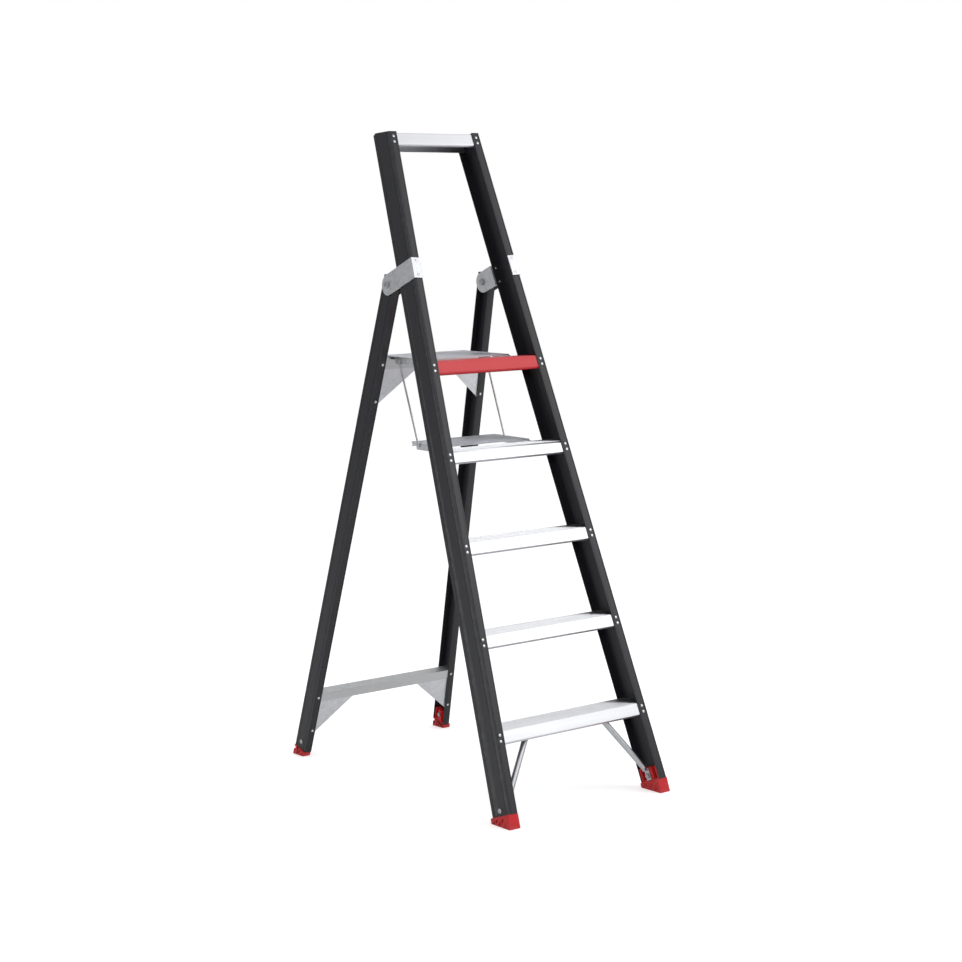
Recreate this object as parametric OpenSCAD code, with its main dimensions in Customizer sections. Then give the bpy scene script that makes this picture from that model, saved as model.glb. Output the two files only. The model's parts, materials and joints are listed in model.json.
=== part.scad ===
// Platform step ladder: a leaning front frame with treads, a rear frame that
// folds against it, and a platform and a flap that fold up on two link rods.
// X is across the ladder, Y runs from the front feet to the rear feet, Z is up.
// All sizes are in millimetres. The origin is the middle of the footprint.

/* [Front frame] */
// Lean of the front frame from upright, in degrees
front_lean = 18.66; // [14:0.01:24]
// Lean of each stile towards the other one, in degrees
stile_splay = 3.45; // [2:0.01:5]
// Half width over the stiles' outer faces where they would meet the floor
stile_foot_x = 281.8; // [230:0.1:340]
// Height of the stiles' tops
stile_top_z = 1920; // [1880:1:2300]
// Depth of a stile, from its front face to its rear face
stile_depth = 85; // [70:1:110]
// Width of a stile's front and rear flanges
stile_flange = 26; // [22:1:36]
// Wall of a stile
stile_wall = 2.2; // [1.6:0.1:3]
// Where the square-cut lower end of a stile starts, along the stile
stile_start = 44; // [36:1:60]

/* [Treads] */
// Height of the first tread's top
first_tread_z = 252; // [220:1:280]
// Rise from one tread to the next
rise = 250; // [220:1:280]
// Height of the top bar's top
top_bar_z = 1915; // [1870:1:2290]
// Height of a tread's flat front face
tread_front_h = 32; // [24:1:42]
// Height and depth of the bevel under the front face
tread_bevel = 6; // [3:0.5:8]
// Height of a tread's rear wall
tread_rear_h = 44; // [38:1:56]
// Wall of a tread
tread_wall = 2; // [1.4:0.1:3]
// Height of the grip ribs on top
grip_h = 1.2; // [0.8:0.1:2]
// Width of one grip rib
grip_w = 3; // [2:0.1:4]
// Spacing of the grip ribs
grip_pitch = 7.4; // [6:0.1:10]

/* [Hinge between the frames] */
// Distance of the pivot along the stile from the floor line
pivot_along = 1605; // [1450:1:1700]
// Distance of the pivot behind the stile's front face
pivot_depth = 142; // [135:0.5:165]
// Half height of a hinge plate, and radius of its round end
plate_r = 31; // [24:0.5:36]
// Thickness of the outer hinge plates
plate_t = 3; // [2:0.1:4]
// Radius of the pivot bolts
bolt_r = 5; // [4:0.1:6]

/* [Rear frame] */
// Lean of the rear frame from upright, in degrees
rear_lean = 18.56; // [14:0.01:24]
// Lean of each rear leg towards the other one, in degrees
leg_splay = 3.565; // [2:0.001:5]
// Depth of a rear leg
leg_depth = 60; // [48:1:80]
// Width of a rear leg's flanges
leg_flange = 24; // [18:1:30]
// Wall of a rear leg
leg_wall = 2; // [1.5:0.1:3]
// Gap between the outer hinge plate and the rear leg, at the pivot
leg_side_gap = 2.3; // [2:0.1:4]
// Distance of the pivot behind a rear leg's front face
leg_pivot_depth = 27; // [24:0.5:34]
// How far a rear leg reaches past the pivot
leg_past_pivot = 23; // [16:0.5:26]
// Where the square-cut lower end of a rear leg starts, along the leg
leg_start = 12.7; // [8:0.1:30]
// Height of the upper brace's top front edge
upper_brace_z = 1256; // [1250:0.5:1257]
// Height of the lower brace's top front edge
lower_brace_z = 209.5; // [150:0.5:320]
// Height of a brace's face, along the legs
brace_face = 31; // [24:1:40]
// Width of the upper brace's top
upper_brace_w = 20; // [14:1:24]
// Width of the lower brace's top
lower_brace_w = 31; // [20:1:40]
// Thickness of the braces and the gussets
brace_t = 2; // [1.5:0.1:3]
// Distance from the brace's rivet down to the gusset's rivet
gusset_rivet_pitch = 116; // [90:1:150]
// How far a gusset reaches in along the brace
gusset_reach = 128; // [90:1:170]

/* [Platform and flap] */
// Distance of the platform's and the flap's pivots behind the stiles
pin_behind = 11.4; // [9:0.1:19]
// Height of a pivot below its tread's top
pin_drop = 4.5; // [3:0.1:10]
// Rise of the platform and the flap towards the rear, in degrees
deck_tilt = 2.65; // [0:0.05:3]
// Half width of the platform and the flap
deck_half_w = 152; // [120:0.5:153]
// Length of the platform behind its pivot
platform_len = 242; // [225:1:243]
// Length of the flap behind its pivot
flap_len = 175; // [150:1:200]
// Distance from a pivot to the link rod's pivot
link_arm = 129; // [110:1:140]
// Height of the deck's top above its pivots
deck_top_h = 10; // [9:0.1:11]
// Thickness of a deck's plate under its ribs
deck_plate = 1.8; // [1.4:0.1:2]
// Thickness of the side arms
arm_t = 3; // [2:0.1:3.5]
// Depth of the side arms below the pivots
arm_drop = 12; // [9:0.5:14]
// Radius of the hinge pins
pin_r = 3; // [2.5:0.1:4]
// Radius of the link rods
rod_r = 2.75; // [2:0.05:3.5]

/* [Feet] */
// Height of a front foot's insert inside its stile
front_insert_h = 40; // [36:1:70]
// Height of a rear foot's insert inside its leg
rear_insert_h = 40; // [30:1:60]
// How far the feet stand out past the stiles and legs at the floor
foot_flare = 4.5; // [2:0.5:8]
// Radius of the foot bolts
foot_bolt_r = 4; // [3:0.1:5]
// Depth and width of the grooves in the soles
sole_groove = 2.5; // [1.5:0.1:4]

/* [Fasteners and fits] */
// Radius of a rivet's shank
rivet_r = 2.4; // [2:0.1:3]
// Distance of the rivets in from the outer face of a stile or leg
rivet_in = 13; // [11:0.5:14]
// Distance between the two rivets of a tread, along the stile
rivet_pitch = 17; // [13:0.5:20]
// Drop of a tread's upper rivet below its top
rivet_drop = 9; // [8.7:0.1:9.5]
// Gap between fixed pieces that touch
fit_gap = 0.05; // [0.02:0.01:0.15]
// Radial clearance of a turning pin in its hole
run_gap = 0.05; // [0.02:0.01:0.1]
// Radial clearance where the link rods reach the flap
open_gap = 0.6; // [0.3:0.1:1]

/* [Hidden] */
pin_depth = stile_depth + pin_behind;
$fn = 48;

// Sines and cosines of the two leans
sf = sin(front_lean);
cf = cos(front_lean);
sr = sin(rear_lean);
cr = cos(rear_lean);
tread_count = 5;
platform_tread_z = first_tread_z + (tread_count - 1) * rise;
flap_tread_z = platform_tread_z - rise;
// The pivot, with the front frame's floor line at Y = 0
pivot_y = pivot_along * sf + pivot_depth * cf;
pivot_z = pivot_along * cf - pivot_depth * sf;
// Distance of the pivot along a rear leg, and the rear frame's floor line
leg_pivot_along = (pivot_z - leg_pivot_depth * sr) / cr;
rear_floor_y = pivot_y + leg_pivot_along * sr - leg_pivot_depth * cr;
heel_y = rear_floor_y + leg_depth / cr;
// The front feet's toes stand a little behind the stiles' floor line
toe_y = 7;
front_y = -(toe_y + heel_y) / 2;
rear_y = front_y + rear_floor_y;
// Outer faces of a stile and of a rear leg at the pivot, and at the floor
stile_pivot_x = stile_foot_x - pivot_along * tan(stile_splay);
leg_pivot_x = stile_pivot_x - leg_side_gap + fit_gap;
leg_foot_x = leg_pivot_x + leg_pivot_along * tan(leg_splay);
// Stations across the width, from the deck's edge outwards
bracket_gap = 1;
bracket_x = deck_half_w - arm_t - bracket_gap;
bracket_t = 3;
rod_x = deck_half_w + rod_r + 2;
plate_inner_x = stile_pivot_x - leg_side_gap - leg_flange - 2.4;
// Rivet heads
head_r = 4.2;
head_h = 1.8;
tail_r = 3.4;
tail_h = 1.4;
hole_r = rivet_r + fit_gap;
// Reach of the cutters past the solids
over = 400;

// ---------- spaces ----------
// Children are drawn as [across, depth behind the front face, along the stile]
module front_space() {
    translate([0, front_y, 0]) rotate([-front_lean, 0, 0]) children();
}
// Children are drawn as [across, depth behind the legs' front face, along the leg]
module rear_space() {
    translate([0, rear_y, 0]) rotate([rear_lean, 0, 0]) children();
}
// Children stand against the right stile, whose outer front edge is the Z axis
module stile_space() {
    front_space() translate([stile_foot_x, 0, 0]) rotate([0, -stile_splay, 0]) children();
}
// Children stand against the right rear leg, whose outer front edge is the Z axis
module leg_space() {
    rear_space() translate([leg_foot_x, 0, 0]) rotate([0, -leg_splay, 0]) children();
}
// Children are drawn about the pivots of the platform or the flap
module deck_space(tread_z) {
    front_space() translate([0, pin_depth, pin_along(tread_z)])
        rotate([front_lean + deck_tilt, 0, 0]) children();
}
module left() { mirror([1, 0, 0]) children(); }
module both() {
    children();
    mirror([1, 0, 0]) children();
}
// A flat outline in [Y, Z], extruded along X from x0 to x1
module slab(x0, x1) {
    translate([x0, 0, 0]) rotate([90, 0, 90]) linear_extrude(height = x1 - x0) children();
}
// A flat outline in [X, Z], extruded along Y from y0 to y1
module face(y0, y1) {
    translate([0, y1, 0]) rotate([90, 0, 0]) linear_extrude(height = y1 - y0) children();
}
// A round bar along X, and one along Y
module bar_x(x0, x1, r) { translate([x0, 0, 0]) rotate([0, 90, 0]) cylinder(r = r, h = x1 - x0); }
module bar_y(y0, y1, r) { translate([0, y0, 0]) rotate([-90, 0, 0]) cylinder(r = r, h = y1 - y0); }

// Distance along the stile of height z at a given depth
function along(z, depth) = (z + depth * sf) / cf;
function rear_along(z, depth) = (z - depth * sr) / cr;
function pin_along(tread_z) = along(tread_z - pin_drop, pin_depth);
// Point [Y, Z] at a given depth and height of the front frame
function at(depth, z) = [front_y + z * sf / cf + depth / cf, z];
// Outer face of a stile or a rear leg at a distance along its frame
function stile_x(a) = stile_foot_x - a * tan(stile_splay);
function leg_x(a) = leg_foot_x - a * tan(leg_splay);

// ---------- rivets ----------
// A rivet along Y: head in front of y = 0, grip of the given length, tail behind
module rivet(grip) {
    translate([0, -head_h, 0]) rotate([-90, 0, 0]) {
        cylinder(r1 = 0.6 * head_r, r2 = head_r, h = head_h / 2);
        translate([0, 0, head_h / 2]) cylinder(r = head_r, h = head_h / 2);
        cylinder(r = rivet_r, h = grip + head_h + tail_h);
        translate([0, 0, grip + head_h]) cylinder(r = tail_r, h = tail_h);
    }
}
// A rivet that faces the other way
module back_rivet(grip) { mirror([0, 1, 0]) rivet(grip); }

// Places children at each rivet of a tread in the right stile's front or rear flange
module at_tread_rivets(z, drop, depth) {
    for (k = [0, 1]) {
        a = along(z - drop, depth) - k * rivet_pitch;
        translate([stile_x(a) - rivet_in, depth, a]) children();
    }
}
module each_tread_rivet(depth) {
    for (i = [0 : tread_count - 1])
        at_tread_rivets(first_tread_z + i * rise, rivet_drop, depth) children();
    at_tread_rivets(top_bar_z, bar_rivet_drop, depth) children();
}
bar_rivet_drop = 10;
tread_grip = stile_wall + tread_wall;
// Rivets of the hinge plates, along the stile from the plate's middle
hinge_rivet_half = 21.5;
module at_hinge_rivets(depth) {
    for (k = [-1, 1]) {
        a = pivot_along + k * hinge_rivet_half;
        translate([stile_x(a) - rivet_in, depth, a]) children();
    }
}
module tread_rivets() color("gainsboro") front_space() both() {
    each_tread_rivet(-fit_gap) rivet(tread_grip + 2 * fit_gap);
    each_tread_rivet(stile_depth + fit_gap) back_rivet(tread_grip + 2 * fit_gap);
}
module hinge_plate_rivets() color("gainsboro") front_space() both() {
    grip = plate_t + stile_wall + 3 * fit_gap;
    at_hinge_rivets(-plate_t - 2 * fit_gap) rivet(grip);
    at_hinge_rivets(stile_depth + plate_t + 2 * fit_gap) back_rivet(grip);
}

// ---------- stiles ----------
groove_w = 1.6;
groove_h = 0.6;
// Section of the right stile: web outside, flanges reaching in, two front grooves
module stile_section() {
    difference() {
        translate([-stile_flange, 0]) square([stile_flange, stile_depth]);
        translate([-stile_flange - 1, stile_wall])
            square([stile_flange + 1 - stile_wall, stile_depth - 2 * stile_wall]);
        for (x = [4, stile_flange - 5])
            translate([-x - groove_w, -1]) square([groove_w, 1 + groove_h]);
        for (y = [14, stile_depth - 14 - groove_w])
            translate([-groove_h, y]) square([1 + groove_h, groove_w]);
    }
}
top_chamfer = 13;
module stile_top_cut() {
    rear_top = at(stile_depth, stile_top_z);
    translate([0, -over, stile_top_z]) cube([over, 3 * over, over]);
    slab(0, over) polygon([rear_top + [-top_chamfer, 1], rear_top + [9, 1],
        rear_top + [9, -top_chamfer], rear_top + [0, -0.6 * top_chamfer],
        rear_top + [-top_chamfer, 0]]);
}
module stile() {
    difference() {
        stile_space() translate([0, 0, stile_start])
            linear_extrude(height = stile_top_z / cf) stile_section();
        stile_top_cut();
        front_space() {
            each_tread_rivet(0) bar_y(-5, 5, hole_r);
            each_tread_rivet(stile_depth) bar_y(-5, 5, hole_r);
            at_hinge_rivets(0) bar_y(-5, 5, hole_r);
            at_hinge_rivets(stile_depth) bar_y(-5, 5, hole_r);
            translate([0, foot_bolt_depth, foot_bolt_along])
                bar_x(stile_foot_x - 30, stile_foot_x + 9, foot_bolt_r + fit_gap);
        }
    }
}
module front_stile_right() color([0.2, 0.2, 0.22]) stile();
module front_stile_left() color([0.2, 0.2, 0.22]) left() stile();

// ---------- treads ----------
// The room between the stiles' webs, as an outline in [X, along]
module between_webs(gap) {
    top = 2200;
    x0 = stile_x(0) - stile_wall / cos(stile_splay) - gap;
    x1 = stile_x(top) - stile_wall / cos(stile_splay) - gap;
    front_space() face(-20, stile_depth + 20) polygon([[-x0, 0], [x0, 0], [x1, top], [-x1, top]]);
}
tread_d0 = stile_wall + fit_gap;
tread_d1 = stile_depth - stile_wall - fit_gap;
rib_depths = [30, 54];
rib_drop = 10;
// Section of a tread or of the top bar, in [Y, Z]
module tread_section(z, front_h, rear_h) {
    zp = z - grip_h;
    t = tread_wall;
    zb = z - front_h;
    b = tread_bevel;
    polygon([at(tread_d0, zp), at(tread_d1, zp), at(tread_d1, zp - t), at(tread_d0, zp - t)]);
    polygon([at(tread_d0, zp), at(tread_d0 + t, zp), at(tread_d0 + t, zb), at(tread_d0, zb)]);
    polygon([at(tread_d0, zb), at(tread_d0 + t, zb), at(tread_d0 + t + b, zb - b),
        at(tread_d0 + b, zb - b)]);
    polygon([at(tread_d1 - t, zp), at(tread_d1, zp), at(tread_d1, z - rear_h),
        at(tread_d1 - t, z - rear_h)]);
    for (d = rib_depths)
        polygon([at(d, zp), at(d + t, zp), at(d + t, zp - rib_drop), at(d, zp - rib_drop)]);
    for (d = [tread_d0 + 1 : grip_pitch : tread_d1 - grip_w - 1])
        polygon([at(d, zp - t / 2), at(d, z), at(d + grip_w, z), at(d + grip_w, zp - t / 2)]);
}
module tread_bar(z, front_h, rear_h, drop) {
    difference() {
        intersection() {
            slab(-over, over) tread_section(z, front_h, rear_h);
            between_webs(1);
        }
        front_space() both() {
            at_tread_rivets(z, drop, 0) bar_y(-1, 6, hole_r);
            at_tread_rivets(z, drop, stile_depth) bar_y(-6, 1, hole_r);
        }
    }
}
module tread(i) {
    z = first_tread_z + i * rise;
    difference() {
        tread_bar(z, tread_front_h, tread_rear_h, rivet_drop);
        if (z == platform_tread_z || z == flap_tread_z)
            front_space() both() at_bracket_rivets(z) bar_y(-4, 8, hole_r);
        if (i == 0)
            both() at_strut_rivet() bar_y(-6, 6, hole_r);
    }
}
module tread_1() color([0.9, 0.9, 0.92]) tread(0);
module tread_2() color([0.9, 0.9, 0.92]) tread(1);
module tread_3() color([0.9, 0.9, 0.92]) tread(2);
module tread_4() color([0.9, 0.9, 0.92]) tread(3);
module tread_5() color([0.85, 0.2, 0.22]) tread(4);
bar_front_h = 33;
bar_rear_h = 49;
module top_bar() color([0.9, 0.9, 0.92])
    tread_bar(top_bar_z, bar_front_h, bar_rear_h, bar_rivet_drop);

// ---------- hinge plates ----------
// Middle of a plate along its stile, and the round end about the pivot
plate_mid = pivot_along / cos(stile_splay);
module plate_outline(y0) {
    translate([y0, plate_mid - plate_r]) square([pivot_depth - y0, 2 * plate_r]);
    translate([pivot_depth, plate_mid]) circle(r = plate_r);
}
module pivot_hole(r) {
    front_space() translate([0, pivot_depth, pivot_along])
        bar_x(stile_pivot_x - 60, stile_pivot_x + 20, r);
}
// Outer plate: lies on the web and wraps round onto the front flange
module hinge_plate_outer() {
    g = fit_gap;
    difference() {
        stile_space() {
            slab(g, g + plate_t) plate_outline(-plate_t - g);
            translate([-stile_flange, -plate_t - g, plate_mid - plate_r])
                cube([stile_flange + g + plate_t, plate_t, 2 * plate_r]);
        }
        pivot_hole(bolt_r + 0.3);
        front_space() at_hinge_rivets(0) bar_y(-plate_t - 2, 1, hole_r);
    }
}
// Inner plate: stands behind the stile, with a tab on the stile's rear flange
module hinge_plate_inner() {
    x1 = plate_inner_x - stile_pivot_x;
    d = stile_depth + fit_gap;
    difference() {
        stile_space() {
            slab(x1 - plate_t, x1) plate_outline(d);
            translate([x1 - plate_t, d, plate_mid - plate_r])
                cube([-x1 + plate_t - 4, plate_t, 2 * plate_r]);
        }
        pivot_hole(bolt_r + 0.3);
        front_space() at_hinge_rivets(stile_depth) bar_y(-1, plate_t + 2, hole_r);
    }
}
module hinge_plate_outer_right() color("silver") hinge_plate_outer();
module hinge_plate_outer_left() color("silver") left() hinge_plate_outer();
module hinge_plate_inner_right() color("silver") hinge_plate_inner();
module hinge_plate_inner_left() color("silver") left() hinge_plate_inner();

// Pivot bolts: hex head outside, nut inside
bolt_head_h = 6;
hex_r = 9.5;
nut_h = 5;
bolt_in_x = plate_inner_x - plate_t - nut_h - 2;
head_gap = 0.7;
module pivot_bolts() color("silver") front_space() both()
    translate([0, pivot_depth, pivot_along]) {
        bar_x(bolt_in_x, stile_pivot_x + plate_t + head_gap + 1, bolt_r);
        translate([stile_pivot_x + plate_t + head_gap, 0, 0]) rotate([0, 90, 0]) {
            cylinder(r = hex_r + 1.5, h = 1.5);
            cylinder(r = hex_r, h = bolt_head_h, $fn = 6);
        }
    }
module pivot_nuts() color("silver") front_space() both()
    translate([plate_inner_x - plate_t - head_gap - nut_h - 0.15, pivot_depth, pivot_along])
        rotate([0, 90, 0]) difference() {
            union() {
                cylinder(r = hex_r, h = nut_h, $fn = 6);
                translate([0, 0, nut_h - 1.2]) cylinder(r = hex_r + 1.5, h = 1.2);
            }
            translate([0, 0, -1]) cylinder(r = bolt_r + fit_gap, h = nut_h + 2);
        }

// ---------- front feet and their braces ----------
foot_bolt_depth = stile_depth / 2 + 2;
foot_bolt_along = stile_start + 14;
insert_x0 = -24;
foot_top_proud = 1.5;
// Outline of a foot's block in [X, Z]: it widens towards the floor
module foot_front(x_top, x_floor, width, z_top, flare_in) {
    polygon([[x_floor + foot_flare - width - 2 * flare_in, 0], [x_floor + foot_flare, 0],
        [x_top + foot_top_proud, z_top], [x_top + foot_top_proud - width, z_top]]);
}
// Triangular pockets between slanting ribs, in [Y, Z]
module foot_pockets(y0, y1, h0, h1, n) {
    step = (y1 - y0) / n;
    rib = 2.2;
    for (k = [0 : n - 1]) {
        ya = y0 + k * step;
        h = h0 + (h1 - h0) * (k + 0.5) / n;
        up = (k % 2 == 0);
        polygon(up ? [[ya + rib, rib], [ya + step - rib / 2, rib], [ya + rib, h - rib]]
                   : [[ya + rib / 2, h - rib], [ya + step - rib, h - rib],
                      [ya + step - rib, rib]]);
    }
}
pocket_t = 3.5;
module front_foot() {
    g = fit_gap;
    base_cut = stile_start - g;
    toe = [front_y + toe_y, 0];
    heel = [front_y + (stile_depth + 2) / cf, 0];
    difference() {
        union() {
            // Wedge under the stile's end
            intersection() {
                slab(100, over) polygon([toe, heel, at(stile_depth + 1.2, 60), at(-1.2, 60)]);
                face(-over * 3, over * 3)
                    foot_front(stile_x(stile_start) - 0.2, stile_foot_x, stile_flange + 3, 60, 3.5);
                stile_space() translate([-200, -50, -50]) cube([400, 200, 50 + base_cut]);
            }
            // Hollow insert inside the channel
            stile_space() difference() {
                translate([insert_x0, stile_wall + g, base_cut - 0.5])
                    cube([-insert_x0 - stile_wall - g, stile_depth - 2 * stile_wall - 2 * g,
                        front_insert_h]);
                for (d = [10, 58])
                    translate([insert_x0 - 1, d, stile_start + 4])
                        cube([16, 17, front_insert_h]);
            }
        }
        // Pockets in the outer and inner sides
        translate([0, front_y, 0]) {
            slab(stile_foot_x - pocket_t + 0.5, over) foot_pockets(22, 88, 33, 11, 5);
            slab(100, stile_foot_x - stile_flange - 7 + pocket_t) foot_pockets(22, 88, 33, 11, 5);
        }
        // Grooves across the sole
        for (k = [1 : 6])
            translate([100, front_y + toe_y + k * 12, -1]) cube([over, sole_groove, 1 + sole_groove]);
        front_space() translate([0, foot_bolt_depth, foot_bolt_along])
            bar_x(100, over, foot_bolt_r + fit_gap);
    }
}
module front_foot_right() color([0.8, 0.18, 0.2]) front_foot();
module front_foot_left() color([0.8, 0.18, 0.2]) left() front_foot();

// A strut runs from the foot bolt up to a rib under the first tread
strut_r = 8.5;
strut_t = 3;
strut_foot_x = stile_x(foot_bolt_along) + insert_x0 - 0.4;
strut_top_x = 116;
strut_rib_d = rib_depths[1] - fit_gap;
strut_top_a = along(first_tread_z - grip_h - tread_wall - 7, strut_rib_d);
module at_strut_rivet() {
    front_space() translate([strut_top_x, rib_depths[1], strut_top_a]) children();
}
module tube_between(p, q, r, wall) {
    v = q - p;
    len = norm(v);
    translate(p) rotate([0, acos(v[2] / len), atan2(v[1], v[0])]) difference() {
        cylinder(r = r, h = len);
        translate([0, 0, 12]) cylinder(r = r - wall, h = len - 24);
    }
}
module foot_brace() {
    low = [strut_foot_x - strut_r - 2.5, foot_bolt_depth, foot_bolt_along + 26];
    high = [strut_top_x + 8, strut_rib_d - strut_r, strut_top_a - 13];
    tab_w = 20;
    difference() {
        union() {
            front_space() tube_between(low, high, strut_r, 1.6);
            // Flattened lower end on the foot's insert
            stile_space() translate([insert_x0 - 0.4, foot_bolt_depth, foot_bolt_along]) {
                translate([-strut_t, -tab_w / 2, -11]) cube([strut_t, tab_w, 34]);
                translate([-strut_r - 4, -6.5, 17]) cube([strut_r + 3, 13, 17]);
            }
            // Flattened upper end on the tread's rib
            front_space() translate([strut_top_x - 9, strut_rib_d - strut_t, strut_top_a - 16])
                cube([20, strut_t, 21]);
        }
        front_space() translate([strut_top_x, strut_rib_d, strut_top_a]) bar_y(-6, 2, hole_r);
        front_space() translate([0, foot_bolt_depth, foot_bolt_along])
            bar_x(100, strut_foot_x + 2, foot_bolt_r + fit_gap);
    }
}
module foot_brace_right() color("gainsboro") foot_brace();
module foot_brace_left() color("gainsboro") left() foot_brace();
module foot_brace_rivets() color("gainsboro") both() at_strut_rivet()
    translate([0, -strut_t - 2 * fit_gap, 0]) rivet(strut_t + tread_wall + 3 * fit_gap);

module foot_bolt(x_in, x_out, r) {
    bar_x(x_in, x_out + 0.5, r);
    translate([x_out, 0, 0]) rotate([0, 90, 0]) {
        cylinder(r = 1.9 * r, h = 1.2);
        translate([0, 0, 1.2]) cylinder(r1 = 1.9 * r, r2 = 1.1 * r, h = 1.6);
    }
}
foot_nut_h = 4;
module front_foot_bolts() color("gainsboro") front_space() both()
    translate([0, foot_bolt_depth, foot_bolt_along])
        foot_bolt(strut_foot_x - strut_t - 8, stile_x(foot_bolt_along) + head_gap, foot_bolt_r);
module hex_nut(r, h) {
    rotate([0, 90, 0]) difference() {
        cylinder(r = 1.8 * r, h = h, $fn = 6);
        translate([0, 0, -1]) cylinder(r = r + fit_gap, h = h + 2);
    }
}
module front_foot_nuts() color("gainsboro") front_space() both()
    translate([strut_foot_x - strut_t - foot_nut_h - 0.7, foot_bolt_depth, foot_bolt_along])
        hex_nut(foot_bolt_r, foot_nut_h);

// ---------- brackets and pins of the platform and the flap ----------
bracket_base = 22;
bracket_base_t = 2.5;
bracket_low = 26;
bracket_d0 = stile_depth - stile_wall;
module at_bracket_rivets(z) {
    for (k = [0, 1])
        translate([bracket_x - bracket_base / 2 - bracket_t / 2, bracket_d0,
            pin_along(z) - 9 - k * 13]) children();
}
module bracket(z) {
    a = pin_along(z);
    front_space() difference() {
        union() {
            translate([bracket_x - bracket_base, bracket_d0, a - bracket_low])
                cube([bracket_base, bracket_base_t, bracket_low + 1]);
            slab(bracket_x - bracket_t, bracket_x) {
                translate([bracket_d0, a - 12]) square([pin_depth - bracket_d0, 12.5]);
                translate([pin_depth, a]) circle(r = 6.5);
            }
        }
        translate([0, pin_depth, a]) bar_x(100, over, pin_r + fit_gap);
        at_bracket_rivets(z) bar_y(-1, 4, hole_r);
    }
}
module platform_bracket_right() color("silver") bracket(platform_tread_z);
module platform_bracket_left() color("silver") left() bracket(platform_tread_z);
module flap_bracket_right() color("silver") bracket(flap_tread_z);
module flap_bracket_left() color("silver") left() bracket(flap_tread_z);
module bracket_rivets() color("gainsboro") front_space() both()
    for (z = [platform_tread_z, flap_tread_z])
        at_bracket_rivets(z) translate([0, bracket_base_t + fit_gap, 0])
            back_rivet(bracket_base_t + tread_wall + 3 * fit_gap);
module hinge_pin(z) {
    translate([0, pin_depth, pin_along(z)]) {
        bar_x(bracket_x - bracket_t - 2.5, deck_half_w + 0.4, pin_r);
        bar_x(bracket_x - bracket_t - 2.5, bracket_x - bracket_t - 0.2, pin_r + 2);
        bar_x(deck_half_w + 0.3, deck_half_w + 1.8, pin_r + 1.5);
    }
}
module platform_hinge_pins() color("gainsboro") front_space() both() hinge_pin(platform_tread_z);
module flap_hinge_pins() color("gainsboro") front_space() both() hinge_pin(flap_tread_z);

// ---------- rear frame ----------
module leg_section() {
    difference() {
        translate([-leg_flange, 0]) square([leg_flange, leg_depth]);
        translate([-leg_flange - 1, leg_wall])
            square([leg_flange + 1 - leg_wall, leg_depth - 2 * leg_wall]);
        for (y = [10, leg_depth - 10 - groove_w])
            translate([-groove_h, y]) square([1 + groove_h, groove_w]);
        translate([-leg_flange + 4, -1]) square([groove_w, 1 + groove_h]);
    }
}
// Rivets of the braces and gussets, in the right leg's front flange
brace_rivet_drop = 16;
upper_rivet_a = rear_along(upper_brace_z, 0) - brace_rivet_drop;
lower_rivet_a = rear_along(lower_brace_z, 0) - brace_rivet_drop;
module at_leg_rivets() {
    for (top = [upper_rivet_a, lower_rivet_a], k = [0, 1]) {
        a = top - k * gusset_rivet_pitch;
        translate([leg_x(a) - rivet_in, 0, a]) children();
    }
}
rear_bolt_depth = leg_depth / 2;
rear_bolt_along = leg_start + 24;
module rear_leg() {
    difference() {
        leg_space() translate([0, 0, leg_start])
            linear_extrude(height = (leg_pivot_along + leg_past_pivot) / cos(leg_splay) - leg_start)
                leg_section();
        rear_space() {
            at_leg_rivets() bar_y(-5, 5, hole_r);
            translate([0, leg_pivot_depth, leg_pivot_along])
                bar_x(leg_pivot_x - 10, leg_pivot_x + 10, bolt_r + run_gap);
            translate([0, rear_bolt_depth, rear_bolt_along])
                bar_x(leg_foot_x - 12, leg_foot_x + 9, foot_bolt_r + fit_gap);
        }
    }
}
module rear_leg_right() color([0.2, 0.2, 0.22]) rear_leg();
module rear_leg_left() color([0.2, 0.2, 0.22]) left() rear_leg();

// The room between the legs' webs, as an outline in [X, along]
module between_legs(gap) {
    x0 = leg_x(0) - leg_wall / cos(leg_splay) - gap;
    x1 = leg_x(leg_pivot_along) - leg_wall / cos(leg_splay) - gap;
    rear_space() face(-20, leg_depth + 20)
        polygon([[-x0, 0], [x0, 0], [x1, leg_pivot_along], [-x1, leg_pivot_along]]);
}
brace_d0 = leg_wall + fit_gap;
brace_return = 8;
// A brace: a face behind the legs' front flanges, a top and a short rear return
module brace(z, width) {
    a = rear_along(z, brace_d0);
    difference() {
        intersection() {
            rear_space() slab(-over, over) {
                translate([brace_d0, a - brace_face]) square([brace_t, brace_face]);
                translate([brace_d0, a - brace_t]) square([width, brace_t]);
                translate([brace_d0 + width - brace_t, a - brace_return])
                    square([brace_t, brace_return]);
            }
            between_legs(0.5);
        }
        rear_space() both() at_leg_rivets() bar_y(-1, 6, hole_r);
    }
}
module upper_brace() color([0.75, 0.75, 0.77]) brace(upper_brace_z, upper_brace_w);
module lower_brace() color([0.75, 0.75, 0.77]) brace(lower_brace_z, lower_brace_w);

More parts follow.
